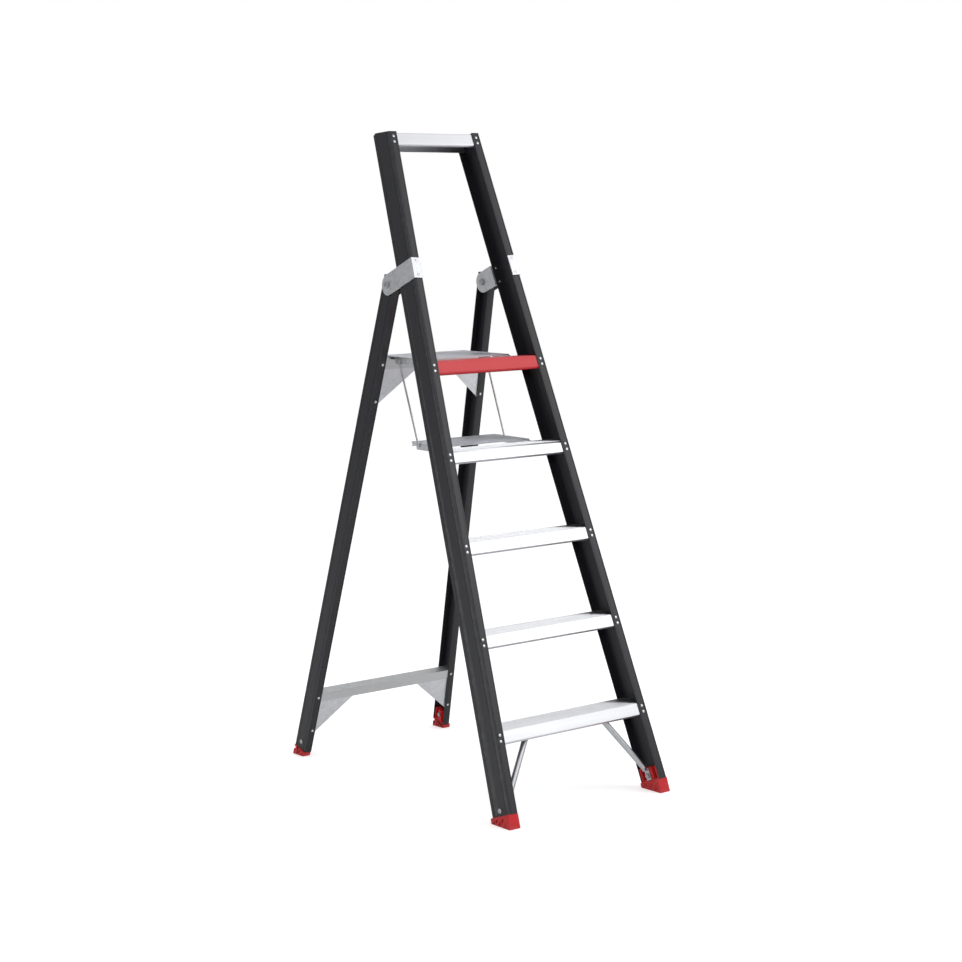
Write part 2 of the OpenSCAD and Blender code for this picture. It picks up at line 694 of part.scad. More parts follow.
// A gusset: a triangle behind the brace's face, with a pressed foot on the leg
gusset_d0 = brace_d0 + brace_t + fit_gap;
module gusset(z) {
    a = rear_along(z, brace_d0);
    rivet_a = rear_along(z, 0) - brace_rivet_drop;
    low = rivet_a - gusset_rivet_pitch;
    bottom = low - 9;
    brace_bottom = a - brace_face;
    x_low = leg_x(bottom) - leg_wall - 1.2;
    x_leg = leg_x(a) - leg_wall - 1.2;
    slope = (brace_bottom - bottom) / gusset_reach;
    edge_x = leg_x(bottom) - leg_flange;
    top = a - brace_t - 4;
    difference() {
        rear_space() {
            face(gusset_d0, gusset_d0 + brace_t) polygon([[x_low, bottom], [edge_x, bottom],
                [edge_x - gusset_reach, brace_bottom],
                [edge_x - gusset_reach, top], [x_leg, top]]);
            face(brace_d0, gusset_d0 + 0.1) polygon([[x_low, bottom], [edge_x + 1, bottom],
                [edge_x + 1, low + 9], [x_low - 1.2, low + 9]]);
        }
        rear_space() at_leg_rivets() bar_y(-1, 9, hole_r);
    }
}
module upper_gusset_right() color("silver") gusset(upper_brace_z);
module upper_gusset_left() color("silver") left() gusset(upper_brace_z);
module lower_gusset_right() color("silver") gusset(lower_brace_z);
module lower_gusset_left() color("silver") left() gusset(lower_brace_z);
module rear_rivets() color("gainsboro") rear_space() both() at_leg_rivets()
    translate([0, -fit_gap, 0]) rivet(leg_wall + 2 * brace_t + 4 * fit_gap);

// ---------- rear feet ----------
rear_insert_x = -20;
module rear_foot() {
    g = fit_gap;
    cut = leg_start - g;
    y0 = rear_y - 0.5;
    y1 = front_y + heel_y;
    rear_top = rear_space_point(leg_depth + 1, 60);
    front_top = rear_space_point(-1, 60);
    difference() {
        union() {
            intersection() {
                slab(100, over) polygon([[y0, 0], [y1, 0], rear_top, front_top]);
                face(-over * 3, over * 3) foot_front(leg_x(leg_start) - 0.2, leg_foot_x,
                    leg_flange + 2, 40, 0);
                leg_space() translate([-200, -50, -50]) cube([400, 200, 50 + cut]);
            }
            leg_space() difference() {
                translate([rear_insert_x, leg_wall + g, cut - 0.5])
                    cube([-rear_insert_x - leg_wall - g, leg_depth - 2 * leg_wall - 2 * g,
                        rear_insert_h]);
                for (d = [7, 39])
                    translate([rear_insert_x - 1, d, leg_start + 4])
                        cube([13, 14, rear_insert_h]);
            }
        }
        translate([0, rear_y, 0]) {
            slab(leg_foot_x - pocket_t + 1.5, over) foot_pockets(2, leg_depth, 13, 29, 4);
            slab(100, leg_foot_x - leg_flange + foot_flare - 2 + pocket_t)
                foot_pockets(2, leg_depth, 13, 29, 4);
        }
        for (k = [1 : 4])
            translate([100, rear_y + k * 12, -1]) cube([over, sole_groove, 1 + sole_groove]);
        rear_space() translate([0, rear_bolt_depth, rear_bolt_along])
            bar_x(100, over, foot_bolt_r + fit_gap);
    }
}
function rear_space_point(depth, a) = [rear_y - a * sr + depth * cr, a * cr + depth * sr];
module rear_foot_right() color([0.8, 0.18, 0.2]) rear_foot();
module rear_foot_left() color([0.8, 0.18, 0.2]) left() rear_foot();
module rear_foot_bolts() color("gainsboro") rear_space() both()
    translate([0, rear_bolt_depth, rear_bolt_along]) {
        x_out = leg_x(rear_bolt_along) + head_gap;
        x_in = leg_x(rear_bolt_along) + rear_insert_x - 0.8;
        foot_bolt(x_in - 6, x_out, foot_bolt_r);
        translate([x_in - foot_nut_h, 0, 0]) rotate([0, 90, 0])
            cylinder(r = 1.8 * foot_bolt_r, h = foot_nut_h, $fn = 6);
    }

// Spacer tubes round the pivot bolts inside the legs, and thin washers
spacer_r = 8.5;
module leg_spacers() color("dimgray") rear_space() both()
    translate([0, leg_pivot_depth, leg_pivot_along]) difference() {
        bar_x(leg_pivot_x - leg_flange - 0.9, leg_pivot_x - leg_wall - 0.7, spacer_r);
        bar_x(leg_pivot_x - 40, leg_pivot_x + 5, bolt_r + run_gap);
    }
washer_t = 1;
module pivot_washers() color("dimgray") front_space() both()
    translate([0, pivot_depth, pivot_along]) for (x = [stile_pivot_x - 1.35,
        plate_inner_x + 0.6]) difference() {
            bar_x(x, x + washer_t / 2, 10);
            bar_x(x - 1, x + 2, bolt_r + fit_gap);
        }

// ---------- platform and flap ----------
deck_front = 1;
deck_grip_pitch = 8;
deck_rib_h = 1.2;
// Top panel: a ribbed plate, with two slots when it is the flap
module deck_panel(len, slots) {
    top = deck_top_h - deck_rib_h;
    n = floor((len - deck_front - grip_w) / deck_grip_pitch);
    difference() {
        union() {
            slab(-deck_half_w, deck_half_w) {
                translate([deck_front, top - deck_plate]) square([len - deck_front, deck_plate]);
                for (k = [0 : n]) translate([deck_front + k * deck_grip_pitch, top - deck_plate / 2])
                    square([grip_w, deck_rib_h + deck_plate / 2]);
            }
        }
        for (k = slots) translate([-22, k, 0]) cube([44, 5, 20]);
    }
}
// Side arm: hangs under the panel's edge and carries both pivots
arm_nose = 8.2;
// Clearance of a rod in the platform's arm, for the start of its bend
rod_gap = 0.65;
module deck_arm(len, end_gap) {
    top = deck_top_h - deck_rib_h - deck_plate - fit_gap;
    difference() {
        slab(deck_half_w - arm_t, deck_half_w) {
            polygon([[4, -arm_drop], [len - end_gap, -arm_drop], [len, 2], [len, top],
                [-5, top], [-arm_nose, 3.5], [-arm_nose, -3.5], [-4, -arm_nose]]);
        }
        bar_x(100, over, pin_r + run_gap);
    }
}
// The platform's arms stop in front of the upper brace; each has a rod pivot
arm_len = 160;
flap_arm_len = 149;
lightening = [[34, -2, 5], [88, -2, 5]];
module platform_arm() {
    deck_space(platform_tread_z) difference() {
        deck_arm(arm_len, 6);
        translate([0, link_arm, 0]) bar_x(100, over, rod_r + rod_gap);
        for (p = lightening) translate([0, p[0], p[1]]) bar_x(100, over, p[2]);
    }
}
module flap_arm() {
    deck_space(flap_tread_z) difference() {
        deck_arm(flap_arm_len, 3);
        translate([0, link_arm, 0]) bar_x(100, over, rod_r + open_gap);
    }
}
module platform_panel() color([0.72, 0.73, 0.76]) deck_space(platform_tread_z)
    deck_panel(platform_len, []);
module flap_panel() color([0.72, 0.73, 0.76]) deck_space(flap_tread_z)
    deck_panel(flap_len, [24, 44]);
module platform_arm_right() color("silver") platform_arm();
module platform_arm_left() color("silver") left() platform_arm();
module flap_arm_right() color("silver") flap_arm();
module flap_arm_left() color("silver") left() flap_arm();
// A lip under the rear edge: on the platform it drops behind the upper brace
module rear_lip(len, drop) {
    top = deck_top_h - deck_rib_h - deck_plate - fit_gap;
    slab(-deck_half_w + 4, deck_half_w - 4) {
        translate([len - 2, top - drop]) square([2, drop]);
        translate([len - 14, top - 2]) square([14, 2]);
    }
}
module platform_rear_lip() color("silver") deck_space(platform_tread_z) rear_lip(platform_len, 20);
module flap_rear_lip() color("silver") deck_space(flap_tread_z) rear_lip(flap_len, 12);
// Rivets that stand on the panel's edge tabs: they hold the lips from below
module lip_rivets(len) {
    top = deck_top_h - deck_rib_h - deck_plate;
    for (x = [-120 : 60 : 120])
        translate([x, len - 8, top - 2 - 2 * fit_gap - head_h])
            cylinder(r1 = 0.6 * head_r, r2 = head_r, h = head_h);
}
module platform_rivets() color("gainsboro") deck_space(platform_tread_z) lip_rivets(platform_len);
module flap_rivets() color("gainsboro") deck_space(flap_tread_z) lip_rivets(flap_len);

// ---------- link rods ----------
rod_bend = 7;
rod_end_x = deck_half_w - arm_t - 4;
// The rod in the platform's space: its foot hangs at the flap's rod pivot
module link_rod() {
    a0 = pin_along(platform_tread_z);
    a1 = pin_along(flap_tread_z);
    drop = norm([pin_shift[0], pin_shift[1]]);
    lean = atan2(pin_shift[0], pin_shift[1]);
    deck_space(platform_tread_z) translate([0, link_arm, 0]) rotate([-deck_tilt - lean, 0, 0]) {
        translate([rod_x, 0, -drop + rod_bend]) cylinder(r = rod_r, h = drop - 2 * rod_bend);
        for (end = [0, 1]) translate([0, 0, end == 0 ? 0 : -drop])
            mirror([0, 0, end]) {
                bar_x(rod_end_x, rod_x - rod_bend, rod_r);
                translate([rod_x - rod_bend, 0, -rod_bend]) rotate([90, 0, 0])
                    rotate_extrude(angle = 90) translate([rod_bend, 0]) circle(r = rod_r);
                bar_x(rod_end_x - 1.6, rod_end_x, rod_r + 1.4);
            }
    }
}
// Step [back, up] from the flap's pivot to the platform's pivot
pin_shift = [rise * sf / cf, rise];
module link_rod_right() color("silver") link_rod();
module link_rod_left() color("silver") left() link_rod();

front_stile_left();
front_stile_right();
tread_1();
tread_2();
tread_3();
tread_4();
tread_5();
top_bar();
tread_rivets();
hinge_plate_outer_left();
hinge_plate_outer_right();
hinge_plate_inner_left();
hinge_plate_inner_right();
hinge_plate_rivets();
pivot_bolts();
pivot_nuts();
front_foot_left();
front_foot_right();
front_foot_bolts();
front_foot_nuts();
foot_brace_left();
foot_brace_right();
foot_brace_rivets();
platform_bracket_left();
platform_bracket_right();
flap_bracket_left();
flap_bracket_right();
bracket_rivets();
platform_hinge_pins();
flap_hinge_pins();
rear_leg_left();
rear_leg_right();
upper_brace();
lower_brace();
upper_gusset_left();
upper_gusset_right();
lower_gusset_left();
lower_gusset_right();
rear_rivets();
rear_foot_left();
rear_foot_right();
rear_foot_bolts();
leg_spacers();
pivot_washers();
platform_panel();
platform_arm_left();
platform_arm_right();
platform_rear_lip();
platform_rivets();
flap_panel();
flap_arm_left();
flap_arm_right();
flap_rear_lip();
flap_rivets();
link_rod_left();
link_rod_right();
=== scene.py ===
# %% [markdown]
# # A platform step ladder, finished in Blender
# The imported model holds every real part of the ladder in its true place. This lesson gives
# those parts their finishes, swaps the plain fasteners for formed ones, softens the sharp
# edges of plates and mouldings, and sets up a plain studio.

# %% Load the frame
import json
import math

import bmesh
import bpy
from mathutils import Matrix, Vector


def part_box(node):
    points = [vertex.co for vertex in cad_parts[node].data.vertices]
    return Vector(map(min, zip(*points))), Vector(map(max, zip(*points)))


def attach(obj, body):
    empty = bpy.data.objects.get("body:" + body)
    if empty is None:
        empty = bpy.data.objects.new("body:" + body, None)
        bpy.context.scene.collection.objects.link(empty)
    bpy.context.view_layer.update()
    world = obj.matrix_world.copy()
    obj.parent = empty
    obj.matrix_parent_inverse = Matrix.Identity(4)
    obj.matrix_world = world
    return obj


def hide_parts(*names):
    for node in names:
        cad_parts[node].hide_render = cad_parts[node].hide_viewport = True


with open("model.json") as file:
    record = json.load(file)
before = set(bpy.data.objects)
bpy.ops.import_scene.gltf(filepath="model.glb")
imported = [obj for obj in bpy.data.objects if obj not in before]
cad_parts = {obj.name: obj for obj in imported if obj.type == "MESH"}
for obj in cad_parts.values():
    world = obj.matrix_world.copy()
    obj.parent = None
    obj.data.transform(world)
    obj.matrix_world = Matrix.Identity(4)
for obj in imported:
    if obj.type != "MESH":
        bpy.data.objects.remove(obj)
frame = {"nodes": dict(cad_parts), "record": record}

MM = 0.001
NODES = frame["nodes"]
BODIES = frame["record"]["behaviour"]["bodies"]
BODY_OF = {node: body for body, nodes in BODIES.items() for node in nodes}
SLOT_OF = {part["node"]: part["material_slot"] for part in frame["record"]["subparts"]}
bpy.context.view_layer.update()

# %% [markdown]
# Both frames lean, and most finishes and fasteners follow the lean. Two treads of the same
# section give the front frame's slope, because one is the other moved along the stiles. The
# two gussets do the same for the rear frame.

# %% Find the leans of the two frames
def slope_between(lower, upper):
    """The angle from upright of the line between two parts of the same section."""
    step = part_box(upper)[0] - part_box(lower)[0]
    return math.atan2(step.y, step.z)


FRONT_LEAN = slope_between("tread_1", "tread_4")
REAR_LEAN = -slope_between("lower_gusset_left", "upper_gusset_left")
FRONT_DEPTH = Vector((0, math.cos(FRONT_LEAN), -math.sin(FRONT_LEAN)))
REAR_DEPTH = Vector((0, math.cos(REAR_LEAN), math.sin(REAR_LEAN)))
print("leans", round(math.degrees(FRONT_LEAN), 2), round(math.degrees(REAR_LEAN), 2), "degrees")

# %% [markdown]
# The camera stands to the left of the treads, a little above the platform, and looks slightly
# down. Its place and angles give the whole ladder with a long lens, so the stiles stay
# nearly parallel. The camera has a small roll, which is why its axes are built by hand.

# %% Place the camera
CAMERA_PLACE = Vector((-3.1297, -4.5086, 1.4323))
CAMERA_HEADING = math.radians(35.45)
CAMERA_DIP = math.radians(5.717)
CAMERA_ROLL = math.radians(-2.23)
CAMERA_LENS = 69.08


def camera_axes(heading, dip, roll):
    """The camera's right, up and backward directions, in the order of a rotation matrix."""
    ahead = Vector((math.sin(heading) * math.cos(dip), math.cos(heading) * math.cos(dip),
                    -math.sin(dip)))
    right = Vector((math.cos(heading), -math.sin(heading), 0))
    up = right.cross(ahead)
    rolled_right = right * math.cos(roll) + up * math.sin(roll)
    rolled_up = up * math.cos(roll) - right * math.sin(roll)
    return rolled_right, rolled_up, -ahead


def add_camera():
    data = bpy.data.cameras.new("camera")
    data.sensor_width = 36
    data.lens = CAMERA_LENS
    camera = bpy.data.objects.new("camera", data)
    bpy.context.scene.collection.objects.link(camera)
    turn = Matrix(camera_axes(CAMERA_HEADING, CAMERA_DIP, CAMERA_ROLL)).transposed()
    camera.matrix_world = Matrix.Translation(CAMERA_PLACE) @ turn.to_4x4()
    bpy.context.scene.camera = camera
    return camera


camera = add_camera()
print("camera at", tuple(round(v, 3) for v in camera.location))

# %% [markdown]
# ## Shared node groups
# An effect that several finishes need is a node group: it is built once, and each material
# gives it its own numbers. These helpers make a group, and wire nodes with little typing.

# %% Helpers for node trees
def new_group(name, inputs, outputs):
    """A shader node group; inputs and outputs map a socket's name to its kind."""
    tree = bpy.data.node_groups.new(name, "ShaderNodeTree")
    for label, kind in inputs.items():
        tree.interface.new_socket(label, in_out="INPUT", socket_type="NodeSocket" + kind)
    for label, kind in outputs.items():
        tree.interface.new_socket(label, in_out="OUTPUT", socket_type="NodeSocket" + kind)
    return tree, tree.nodes.new("NodeGroupInput"), tree.nodes.new("NodeGroupOutput")


def add_node(tree, kind, wires=None, **settings):
    """Adds a node, sets its properties, and gives each named input a value or a socket."""
    node = tree.nodes.new(kind)
    for name, value in settings.items():
        setattr(node, name, value)
    for name, value in (wires or {}).items():
        if isinstance(value, bpy.types.NodeSocket):
            tree.links.new(value, node.inputs[name])
        else:
            node.inputs[name].default_value = value
    return node


def math_node(tree, operation, a, b=None, clamp=False):
    wires = {0: a} if b is None else {0: a, 1: b}
    return add_node(tree, "ShaderNodeMath", wires, operation=operation, use_clamp=clamp).outputs[0]


def vector_node(tree, operation, *inputs):
    return add_node(tree, "ShaderNodeVectorMath", dict(enumerate(inputs)), operation=operation)


def remap(tree, value, low, high, new_low=0.0, new_high=1.0):
    """Stretches the values from low to high over new_low to new_high, and stops at both."""
    wires = {"Value": value, "From Min": low, "From Max": high,
             "To Min": new_low, "To Max": new_high}
    return add_node(tree, "ShaderNodeMapRange", wires).outputs[0]


def noise(tree, vector, scale, detail, roughness=0.5):
    """The grey value of a noise; a higher roughness makes its fine detail stronger."""
    wires = {"Vector": vector, "Scale": scale, "Detail": detail, "Roughness": roughness}
    return add_node(tree, "ShaderNodeTexNoise", wires).outputs["Fac"]


print("helpers for node trees ready")

# %% [markdown]
# Drawn and extruded aluminium carries long hairlines from the die. They could be an image, but
# a noise stretched along one direction gives endless lines with no seam. The group takes
# coordinates that already lie along the bar, and a stretch for each direction.

# %% Group: hairlines of a drawn bar
BAND_STRETCH = (0.7, 0.09, 0.09)


def make_hairlines():
    tree, source, result = new_group("hairlines", {"Vector": "Vector", "Stretch": "Vector"},
                                     {"Lines": "Float", "Bands": "Float"})
    drawn = vector_node(tree, "MULTIPLY", source.outputs["Vector"], source.outputs["Stretch"])
    slow = vector_node(tree, "MULTIPLY", drawn.outputs[0], BAND_STRETCH)
    tree.links.new(noise(tree, drawn.outputs[0], 1.0, 3.0, 0.65), result.inputs["Lines"])
    tree.links.new(noise(tree, slow.outputs[0], 1.0, 2.0), result.inputs["Bands"])
    return tree


HAIRLINES = make_hairlines()
print("group", HAIRLINES.name)

# %% [markdown]
# Paint and coating wear first along edges, and edges catch thin highlights; this mask paints
# both, so its paler edges are partly wear and partly a painted highlight. The Bevel node knows
# how a rounded edge would face, so where it differs from the true face there is an edge. Noise
# breaks the mask up, so that only some stretches show bare metal.

# %% Group: wear and painted highlight along edges
def make_edge_rub_and_highlight():
    inputs = {"Vector": "Vector", "Width": "Float", "Amount": "Float"}
    tree, source, result = new_group("edge_rub_and_highlight", inputs, {"Mask": "Float"})
    rounded = add_node(tree, "ShaderNodeBevel", {"Radius": source.outputs["Width"]}, samples=4)
    flat = add_node(tree, "ShaderNodeNewGeometry").outputs["True Normal"]
    facing = vector_node(tree, "DOT_PRODUCT", rounded.outputs[0], flat).outputs["Value"]
    edge = remap(tree, facing, 0.985, 0.80)
    chips = noise(tree, source.outputs["Vector"], 55.0, 5.0, 0.7)
    mask = math_node(tree, "MULTIPLY", edge, remap(tree, chips, 0.42, 0.62))
    mask = math_node(tree, "MULTIPLY", mask, source.outputs["Amount"], clamp=True)
    tree.links.new(mask, result.inputs["Mask"])
    return tree


EDGE_RUB_AND_HIGHLIGHT = make_edge_rub_and_highlight()
print("group", EDGE_RUB_AND_HIGHLIGHT.name)

# %% [markdown]
# A little dust lies on what faces up, and handling leaves faint blotches everywhere. Both are
# masks that a finish mixes into its colour and its roughness. The third mask is everything
# that faces up, with which a finish paints a darker shade onto its tops.

# %% Group: dust, handling and painted shade on tops
def make_handling_and_top_shade():
    tree, source, result = new_group("handling_and_top_shade", {"Vector": "Vector"},
                                     {"Dust": "Float", "Blotch": "Float", "Up": "Float"})
    normal = add_node(tree, "ShaderNodeNewGeometry").outputs["Normal"]
    up = add_node(tree, "ShaderNodeSeparateXYZ", {0: normal}).outputs["Z"]
    facing_up = remap(tree, up, 0.55, 0.98)
    speckle = noise(tree, source.outputs["Vector"], 38.0, 6.0, 0.72)
    cloud = noise(tree, source.outputs["Vector"], 7.0, 4.0, 0.6)
    dust = math_node(tree, "MULTIPLY", facing_up, remap(tree, speckle, 0.45, 0.75), clamp=True)
    tree.links.new(dust, result.inputs["Dust"])
    tree.links.new(remap(tree, cloud, 0.3, 0.7), result.inputs["Blotch"])
    # The Up mask lets a finish paint shade onto its top faces.
    tree.links.new(facing_up, result.inputs["Up"])
    return tree


HANDLING_AND_TOP_SHADE = make_handling_and_top_shade()
print("group", HANDLING_AND_TOP_SHADE.name)

# %% [markdown]
# Zinc coated sheet shows soft patches, each a crystal that reflects a little differently. A
# Voronoi pattern gives the patches and a fine noise roughens them.

# %% Group: spangle of zinc coated sheet
PATCH_BEND = (0.006, 0.006, 0.006)


def make_spangle():
    inputs = {"Vector": "Vector", "Scale": "Float"}
    tree, source, result = new_group("spangle", inputs, {"Patch": "Float"})
    place = source.outputs["Vector"]
    bent = add_node(tree, "ShaderNodeTexNoise", {"Vector": place, "Scale": 90.0, "Detail": 2.0})
    moved = vector_node(tree, "MULTIPLY_ADD", bent.outputs["Color"], PATCH_BEND, place).outputs[0]
    cells = add_node(tree, "ShaderNodeTexVoronoi",
                     {"Vector": moved, "Scale": source.outputs["Scale"]})
    patch = add_node(tree, "ShaderNodeSeparateColor", {0: cells.outputs["Color"]}).outputs[0]
    tree.links.new(patch, result.inputs["Patch"])
    return tree


SPANGLE = make_spangle()
print("group", SPANGLE.name)

# %% [markdown]
# ## Finishes
# Each finish starts the same way: a Principled shader, the piece's own coordinates, and those
# coordinates turned to lie along the frame that the piece belongs to.

# %% Start of a finish
def group_node(tree, group, **wires):
    return add_node(tree, "ShaderNodeGroup", wires, node_tree=group)


def start_finish(name, lean=0.0):
    """Returns the material, its tree, its shader and coordinates with Z along the lean."""
    material = bpy.data.materials.new(name)
    material.use_nodes = True
    tree = material.node_tree
    shader = tree.nodes["Principled BSDF"]
    place = add_node(tree, "ShaderNodeTexCoord").outputs["Object"]
    turned = add_node(tree, "ShaderNodeMapping", {"Vector": place, "Rotation": (lean, 0, 0)})
    return material, tree, shader, turned.outputs[0]


def mix_colour(tree, share, a, b):
    """Mixes two colours; the Mix node's colours are its sockets 6 and 7, and its result 2."""
    node = add_node(tree, "ShaderNodeMix", data_type="RGBA")
    for index, value in ((0, share), (6, a), (7, b)):
        if isinstance(value, bpy.types.NodeSocket):
            tree.links.new(value, node.inputs[index])
        else:
            node.inputs[index].default_value = (*value, 1) if isinstance(value, tuple) else value
    return node.outputs[2]


def tint(tree, mask, share, under, over):
    """Lays one colour over another, as far as a share of a mask allows."""
    return mix_colour(tree, math_node(tree, "MULTIPLY", mask, share), under, over)


def duller(tree, rough, mask, amount, clamp=False):
    """Adds an amount of a mask to a roughness."""
    return math_node(tree, "ADD", rough, math_node(tree, "MULTIPLY", mask, amount), clamp=clamp)


def bump(tree, shader, height, strength, distance):
    wires = {"Height": height, "Strength": strength, "Distance": distance}
    tree.links.new(add_node(tree, "ShaderNodeBump", wires).outputs[0], shader.inputs["Normal"])


print("finish starter ready")

# %% [markdown]
# Stiles and legs are extruded aluminium with a satin black coat. The coat keeps a trace of the
# die's hairlines, shows handling as slightly duller blotches, and is painted grey along the
# corners, partly as rubbed wear and partly as a painted highlight. The coat itself isn't
# metallic, only those grey corners are.

# %% Finish: black coated aluminium
def black_coat(name, lean):
    material, tree, shader, turned = start_finish(name, lean)
    lines = group_node(tree, HAIRLINES, Vector=turned, Stretch=(700.0, 700.0, 2.2))
    rub_and_highlight = group_node(tree, EDGE_RUB_AND_HIGHLIGHT, Vector=turned, Width=0.0009, Amount=0.3)
    hands_and_top_shade = group_node(tree, HANDLING_AND_TOP_SHADE, Vector=turned)
    coat = mix_colour(tree, lines.outputs["Lines"],
                      (0.0060, 0.0060, 0.0088), (0.0098, 0.0100, 0.0140))
    coat = tint(tree, hands_and_top_shade.outputs["Blotch"], 0.25, coat, (0.011, 0.011, 0.0145))
    coat = tint(tree, hands_and_top_shade.outputs["Dust"], 0.2, coat, (0.08, 0.08, 0.085))
    # Edges are painted grey and, below, partly metallic: partly rubbed wear, partly a painted
    # highlight.
    coat = mix_colour(tree, rub_and_highlight.outputs["Mask"], coat, (0.20, 0.21, 0.23))
    tree.links.new(coat, shader.inputs["Base Color"])
    rough = remap(tree, lines.outputs["Bands"], 0.3, 0.7, 0.36, 0.42)
    rough = duller(tree, rough, hands_and_top_shade.outputs["Blotch"], 0.03)
    tree.links.new(rough, shader.inputs["Roughness"])
    bare_edge_and_highlight = math_node(tree, "MULTIPLY", rub_and_highlight.outputs["Mask"], 0.8)
    tree.links.new(bare_edge_and_highlight, shader.inputs["Metallic"])
    shader.inputs["Specular IOR Level"].default_value = 0.55
    bump(tree, shader, lines.outputs["Lines"], 0.06, 0.0001)
    return material


black_front = black_coat("black_coat_front", FRONT_LEAN)
black_rear = black_coat("black_coat_rear", -REAR_LEAN)
print("made", black_front.name, black_rear.name)

# %% [markdown]
# Treads, braces and deck panels are bare extruded aluminium. The same finish serves them all
# with other numbers: how bright the metal is, how dull, and how strong the hairlines are. The
# hairlines run along X, the way the treads are drawn. A mask on what faces up paints a darker
# shade onto the tops, strongest on the treads.

# %% Finish: bare drawn aluminium
ALONG_X = (2.4, 900.0, 900.0)


def darker(colour, share):
    return tuple(share * c for c in colour)


def bare_metal(name, bright, dark, rough, line_depth, stretch=ALONG_X, top_shade=0.0):
    material, tree, shader, turned = start_finish(name)
    lines = group_node(tree, HAIRLINES, Vector=turned, Stretch=stretch)
    hands_and_top_shade = group_node(tree, HANDLING_AND_TOP_SHADE, Vector=turned)
    metal = mix_colour(tree, remap(tree, lines.outputs["Lines"], 0.3, 0.7), dark, bright)
    metal = tint(tree, hands_and_top_shade.outputs["Blotch"], 0.12, metal, darker(bright, 0.62))
    # Painted shade: faces that look up get a darker colour, by the share given for the tops.
    metal = tint(tree, hands_and_top_shade.outputs["Up"], top_shade, metal, darker(bright, 0.45))
    metal = tint(tree, hands_and_top_shade.outputs["Dust"], 0.3, metal, (0.36, 0.35, 0.34))
    tree.links.new(metal, shader.inputs["Base Color"])
    spread = remap(tree, lines.outputs["Bands"], 0.3, 0.7, *rough)
    spread = duller(tree, spread, hands_and_top_shade.outputs["Dust"], 0.18, clamp=True)
    tree.links.new(spread, shader.inputs["Roughness"])
    shader.inputs["Metallic"].default_value = 1.0
    bump(tree, shader, lines.outputs["Lines"], line_depth, 0.0003)
    return material


tread_metal = bare_metal("tread_aluminium", bright=(0.74, 0.745, 0.77), dark=(0.64, 0.645, 0.67),
                         rough=(0.28, 0.36), line_depth=0.12, top_shade=0.75)
deck_metal = bare_metal("deck_aluminium", bright=(0.86, 0.87, 0.90), dark=(0.68, 0.69, 0.73),
                        rough=(0.28, 0.40), line_depth=0.16, top_shade=0.15)
brace_metal = bare_metal("brace_aluminium", bright=(0.64, 0.645, 0.65), dark=(0.54, 0.545, 0.55),
                         rough=(0.38, 0.50), line_depth=0.10)
strut_metal = bare_metal("strut_aluminium", bright=(0.60, 0.61, 0.63), dark=(0.48, 0.49, 0.52),
                         rough=(0.28, 0.40), line_depth=0.10, stretch=(500.0, 500.0, 40.0))
rivet_metal = bare_metal("rivet_aluminium", bright=(0.74, 0.75, 0.77), dark=(0.66, 0.67, 0.70),
                         rough=(0.22, 0.32), line_depth=0.05, stretch=(300.0, 300.0, 300.0))
for metal in (tread_metal, deck_metal, brace_metal, strut_metal, rivet_metal):
    print("made", metal.name)

# %% [markdown]
# The platform's tread is coated red so that a climber sees where the platform is. It has the
# same coat as the stiles in another colour, with paler front edges that are partly rubs and
# partly a painted highlight.

# %% Finish: red coat
def red_coat(name):
    material, tree, shader, turned = start_finish(name)
    lines = group_node(tree, HAIRLINES, Vector=turned, Stretch=ALONG_X)
    rub_and_highlight = group_node(tree, EDGE_RUB_AND_HIGHLIGHT, Vector=turned, Width=0.0012, Amount=0.4)
    hands_and_top_shade = group_node(tree, HANDLING_AND_TOP_SHADE, Vector=turned)
    coat = mix_colour(tree, lines.outputs["Lines"], (0.58, 0.026, 0.034), (0.68, 0.038, 0.048))
    coat = tint(tree, hands_and_top_shade.outputs["Blotch"], 0.25, coat, (0.50, 0.020, 0.028))
    coat = tint(tree, hands_and_top_shade.outputs["Dust"], 0.3, coat, (0.42, 0.25, 0.24))
    # Paler edges: partly rubs, partly a painted highlight.
    coat = mix_colour(tree, rub_and_highlight.outputs["Mask"], coat, (0.80, 0.42, 0.42))
    tree.links.new(coat, shader.inputs["Base Color"])
    rough = remap(tree, lines.outputs["Bands"], 0.3, 0.7, 0.34, 0.46)
    tree.links.new(rough, shader.inputs["Roughness"])
    bump(tree, shader, lines.outputs["Lines"], 0.10, 0.0002)
    return material


red_tread = red_coat("red_coat")
print("made", red_tread.name)

# %% [markdown]
# The feet are moulded red plastic. A moulding has a fine pebbled skin, is slightly translucent
# looking in its colour, and scuffs pale where it meets the ground. Its edges take the same pale
# colour, partly as wear and partly as a painted highlight.

# %% Finish: moulded plastic
PEBBLE_SCALE = 420.0
SCUFF_HEIGHT = 10 * MM


